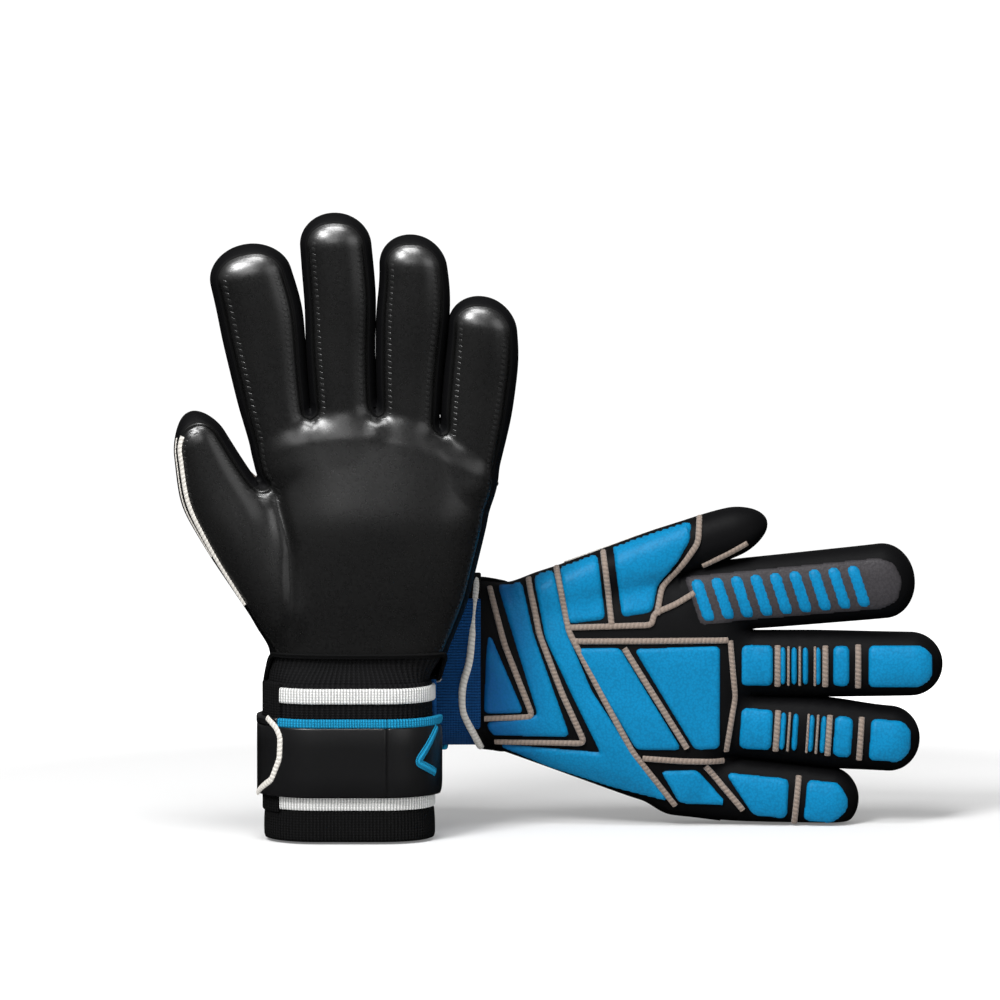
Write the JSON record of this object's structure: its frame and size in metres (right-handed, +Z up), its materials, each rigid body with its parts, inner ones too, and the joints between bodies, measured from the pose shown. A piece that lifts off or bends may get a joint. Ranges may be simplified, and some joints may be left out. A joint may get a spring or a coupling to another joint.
{
  "type": "goalkeeper gloves",
  "caption": "Pair of padded goalkeeper gloves with latex palms, segmented foam backs, elastic cuffs and wrist straps; fingers, wrists and straps bend.",
  "frame": {"origin": "under the middle of the pair, on the surface it stands on", "axes": "+Z up, from the left glove's cuff to its fingertips; the left palm faces -Y; +X runs along the right glove's fingers"},
  "size_m": [0.3602, 0.1148, 0.2851],
  "materials": {
    "palm_latex": "matt foam with a soft sheen",
    "rolled_latex": "matt foam",
    "blue_foam": "satin padded fabric",
    "blue_pad": "satin padded fabric",
    "black_back": "satin padded fabric",
    "grey_piping": "woven cord",
    "elastic_knit": "ribbed knit",
    "white_band": "woven elastic",
    "strap_fabric": "satin coated fabric",
    "hook_tape": "hook tape",
    "loop_tape": "loop pile"
  },
  "bodies": {
    "left_cuff": {"left_bandage": "elastic_knit", "left_cuff_bands": "white_band", "left_strap_anchor": "strap_fabric", "left_loop_patch": "loop_tape"},
    "left_strap": {"left_strap_band": "strap_fabric"},
    "left_strap_end": {"left_strap_tip": "strap_fabric", "left_hook_patch": "hook_tape"},
    "left_hand": {"left_palm": "palm_latex", "left_backhand": "blue_foam", "left_wrist_piping": "grey_piping"},
    "left_thumb_base": {"left_thumb_grip_base": "rolled_latex", "left_thumb_back_base": "black_back"},
    "left_thumb_tip": {"left_thumb_grip_tip": "rolled_latex", "left_thumb_back_tip": "black_back"},
    "left_index_base": {"left_index_grip_base": "rolled_latex", "left_index_back_base": "black_back"},
    "left_index_tip": {"left_index_grip_tip": "rolled_latex", "left_index_back_tip": "black_back"},
    "left_middle_base": {"left_middle_grip_base": "rolled_latex", "left_middle_back_base": "blue_pad"},
    "left_middle_tip": {"left_middle_grip_tip": "rolled_latex", "left_middle_back_tip": "blue_pad"},
    "left_ring_base": {"left_ring_grip_base": "rolled_latex", "left_ring_back_base": "blue_pad"},
    "left_ring_tip": {"left_ring_grip_tip": "rolled_latex", "left_ring_back_tip": "blue_pad"},
    "left_little_base": {"left_little_grip_base": "rolled_latex", "left_little_back_base": "blue_pad"},
    "left_little_tip": {"left_little_grip_tip": "rolled_latex", "left_little_back_tip": "blue_pad"},
    "right_cuff": {"right_bandage": "elastic_knit", "right_cuff_bands": "white_band", "right_strap_anchor": "strap_fabric", "right_loop_patch": "loop_tape"},
    "right_strap": {"right_strap_band": "strap_fabric"},
    "right_strap_end": {"right_strap_tip": "strap_fabric", "right_hook_patch": "hook_tape"},
    "right_hand": {"right_palm": "palm_latex", "right_backhand": "blue_foam", "right_wrist_piping": "grey_piping"},
    "right_thumb_base": {"right_thumb_grip_base": "rolled_latex", "right_thumb_back_base": "black_back"},
    "right_thumb_tip": {"right_thumb_grip_tip": "rolled_latex", "right_thumb_back_tip": "black_back"},
    "right_index_base": {"right_index_grip_base": "rolled_latex", "right_index_back_base": "black_back"},
    "right_index_tip": {"right_index_grip_tip": "rolled_latex", "right_index_back_tip": "black_back"},
    "right_middle_base": {"right_middle_grip_base": "rolled_latex", "right_middle_back_base": "blue_pad"},
    "right_middle_tip": {"right_middle_grip_tip": "rolled_latex", "right_middle_back_tip": "blue_pad"},
    "right_ring_base": {"right_ring_grip_base": "rolled_latex", "right_ring_back_base": "blue_pad"},
    "right_ring_tip": {"right_ring_grip_tip": "rolled_latex", "right_ring_back_tip": "blue_pad"},
    "right_little_base": {"right_little_grip_base": "rolled_latex", "right_little_back_base": "blue_pad"},
    "right_little_tip": {"right_little_grip_tip": "rolled_latex", "right_little_back_tip": "blue_pad"}
  },
  "joints": [
    {"name": "left_wrist_bend", "type": "hinge", "parent": "left_cuff", "child": "left_hand", "pos_m": [-0.09087, -0.0285, 0.084], "axis": [1, 0, 0], "range_deg": [0, 35], "stiffness_Nm_per_rad": 0.8},
    {"name": "left_strap_open", "type": "hinge", "parent": "left_cuff", "child": "left_strap", "pos_m": [-0.13677, -0.0285, 0.0385], "axis": [0, 0, -1], "range_deg": [0, 110], "stiffness_Nm_per_rad": 0.02},
    {"name": "left_strap_curl", "type": "hinge", "parent": "left_strap", "child": "left_strap_end", "pos_m": [-0.07387, -0.0574, 0.0385], "axis": [0, 0, -1], "range_deg": [0, 55], "stiffness_Nm_per_rad": 0.01},
    {"name": "left_thumb_knuckle", "type": "hinge", "parent": "left_hand", "child": "left_thumb_base", "pos_m": [-0.14797, -0.0285, 0.15244], "axis": [0.8988, 0, 0.4384], "range_deg": [0, 35], "stiffness_Nm_per_rad": 0.06},
    {"name": "left_thumb_middle_joint", "type": "hinge", "parent": "left_thumb_base", "child": "left_thumb_tip", "pos_m": [-0.15784, -0.0285, 0.17266], "axis": [0.8988, 0, 0.4384], "range_deg": [0, 45], "stiffness_Nm_per_rad": 0.03},
    {"name": "left_index_knuckle", "type": "hinge", "parent": "left_hand", "child": "left_index_base", "pos_m": [-0.12842, -0.0285, 0.20666], "axis": [0.9759, 0, 0.2181], "range_deg": [0, 55], "stiffness_Nm_per_rad": 0.06},
    {"name": "left_index_middle_joint", "type": "hinge", "parent": "left_index_base", "child": "left_index_tip", "pos_m": [-0.13453, -0.0285, 0.23399], "axis": [0.9759, 0, 0.2181], "range_deg": [0, 60], "stiffness_Nm_per_rad": 0.03},
    {"name": "left_middle_knuckle", "type": "hinge", "parent": "left_hand", "child": "left_middle_base", "pos_m": [-0.09566, -0.0285, 0.20999], "axis": [0.9994, 0, 0.0349], "range_deg": [0, 60], "stiffness_Nm_per_rad": 0.06},
    {"name": "left_middle_middle_joint", "type": "hinge", "parent": "left_middle_base", "child": "left_middle_tip", "pos_m": [-0.09664, -0.0285, 0.23797], "axis": [0.9994, 0, 0.0349], "range_deg": [0, 70], "stiffness_Nm_per_rad": 0.03},
    {"name": "left_ring_knuckle", "type": "hinge", "parent": "left_hand", "child": "left_ring_base", "pos_m": [-0.0653, -0.0285, 0.207], "axis": [0.9997, 0, -0.0262], "range_deg": [0, 60], "stiffness_Nm_per_rad": 0.06},
    {"name": "left_ring_middle_joint", "type": "hinge", "parent": "left_ring_base", "child": "left_ring_tip", "pos_m": [-0.06457, -0.0285, 0.23499], "axis": [0.9997, 0, -0.0262], "range_deg": [0, 70], "stiffness_Nm_per_rad": 0.03},
    {"name": "left_little_knuckle", "type": "hinge", "parent": "left_hand", "child": "left_little_base", "pos_m": [-0.03522, -0.0285, 0.19593], "axis": [0.9942, 0, -0.108], "range_deg": [0, 60], "stiffness_Nm_per_rad": 0.06},
    {"name": "left_little_middle_joint", "type": "hinge", "parent": "left_little_base", "child": "left_little_tip", "pos_m": [-0.03257, -0.0285, 0.22028], "axis": [0.9942, 0, -0.108], "range_deg": [0, 70], "stiffness_Nm_per_rad": 0.03},
    {"name": "right_glove_slide", "type": "slide", "parent": "left_cuff", "child": "right_cuff", "axis": [1, 0, 0], "range_m": [0, 0.25], "stiffness_N_per_m": 30},
    {"name": "right_wrist_bend", "type": "hinge", "parent": "right_cuff", "child": "right_hand", "pos_m": [-0.02087, 0.0285, 0.07331], "axis": [0, 0, 1], "range_deg": [0, 35], "stiffness_Nm_per_rad": 0.8},
    {"name": "right_strap_open", "type": "hinge", "parent": "right_cuff", "child": "right_strap", "pos_m": [-0.06637, 0.0285, 0.11921], "axis": [1, 0, 0], "range_deg": [0, 110], "stiffness_Nm_per_rad": 0.02},
    {"name": "right_strap_curl", "type": "hinge", "parent": "right_strap", "child": "right_strap_end", "pos_m": [-0.06637, 0.0574, 0.05631], "axis": [1, 0, 0], "range_deg": [0, 55], "stiffness_Nm_per_rad": 0.01},
    {"name": "right_thumb_knuckle", "type": "hinge", "parent": "right_hand", "child": "right_thumb_base", "pos_m": [0.04817, 0.0285, 0.12888], "axis": [-0.2924, 0, 0.9563], "range_deg": [0, 35], "stiffness_Nm_per_rad": 0.06},
    {"name": "right_thumb_middle_joint", "type": "hinge", "parent": "right_thumb_base", "child": "right_thumb_tip", "pos_m": [0.06969, 0.0285, 0.13546], "axis": [-0.2924, 0, 0.9563], "range_deg": [0, 45], "stiffness_Nm_per_rad": 0.03},
    {"name": "right_index_knuckle", "type": "hinge", "parent": "right_hand", "child": "right_index_base", "pos_m": [0.10204, 0.0285, 0.1094], "axis": [-0.1132, 0, 0.9936], "range_deg": [0, 55], "stiffness_Nm_per_rad": 0.06},
    {"name": "right_index_middle_joint", "type": "hinge", "parent": "right_index_base", "child": "right_index_tip", "pos_m": [0.12986, 0.0285, 0.11256], "axis": [-0.1132, 0, 0.9936], "range_deg": [0, 60], "stiffness_Nm_per_rad": 0.03},
    {"name": "right_middle_knuckle", "type": "hinge", "parent": "right_hand", "child": "right_middle_base", "pos_m": [0.10513, 0.0285, 0.07761], "axis": [0, 0, 1], "range_deg": [0, 60], "stiffness_Nm_per_rad": 0.06},
    {"name": "right_middle_middle_joint", "type": "hinge", "parent": "right_middle_base", "child": "right_middle_tip", "pos_m": [0.13313, 0.0285, 0.07761], "axis": [0, 0, 1], "range_deg": [0, 70], "stiffness_Nm_per_rad": 0.03},
    {"name": "right_ring_knuckle", "type": "hinge", "parent": "right_hand", "child": "right_ring_base", "pos_m": [0.1021, 0.0285, 0.04725], "axis": [0.061, 0, 0.9981], "range_deg": [0, 60], "stiffness_Nm_per_rad": 0.06},
    {"name": "right_ring_middle_joint", "type": "hinge", "parent": "right_ring_base", "child": "right_ring_tip", "pos_m": [0.13005, 0.0285, 0.04555], "axis": [0.061, 0, 0.9981], "range_deg": [0, 70], "stiffness_Nm_per_rad": 0.03},
    {"name": "right_little_knuckle", "type": "hinge", "parent": "right_hand", "child": "right_little_base", "pos_m": [0.09107, 0.0285, 0.01781], "axis": [0.0958, 0, 0.9954], "range_deg": [0, 60], "stiffness_Nm_per_rad": 0.06},
    {"name": "right_little_middle_joint", "type": "hinge", "parent": "right_little_base", "child": "right_little_tip", "pos_m": [0.11546, 0.0285, 0.01546], "axis": [0.0958, 0, 0.9954], "range_deg": [0, 70], "stiffness_Nm_per_rad": 0.03}
  ],
  "couplings": [
    {"joint": "left_strap_curl", "follows": "left_strap_open", "ratio": 0.5},
    {"joint": "right_strap_curl", "follows": "right_strap_open", "ratio": 0.5}
  ]
}
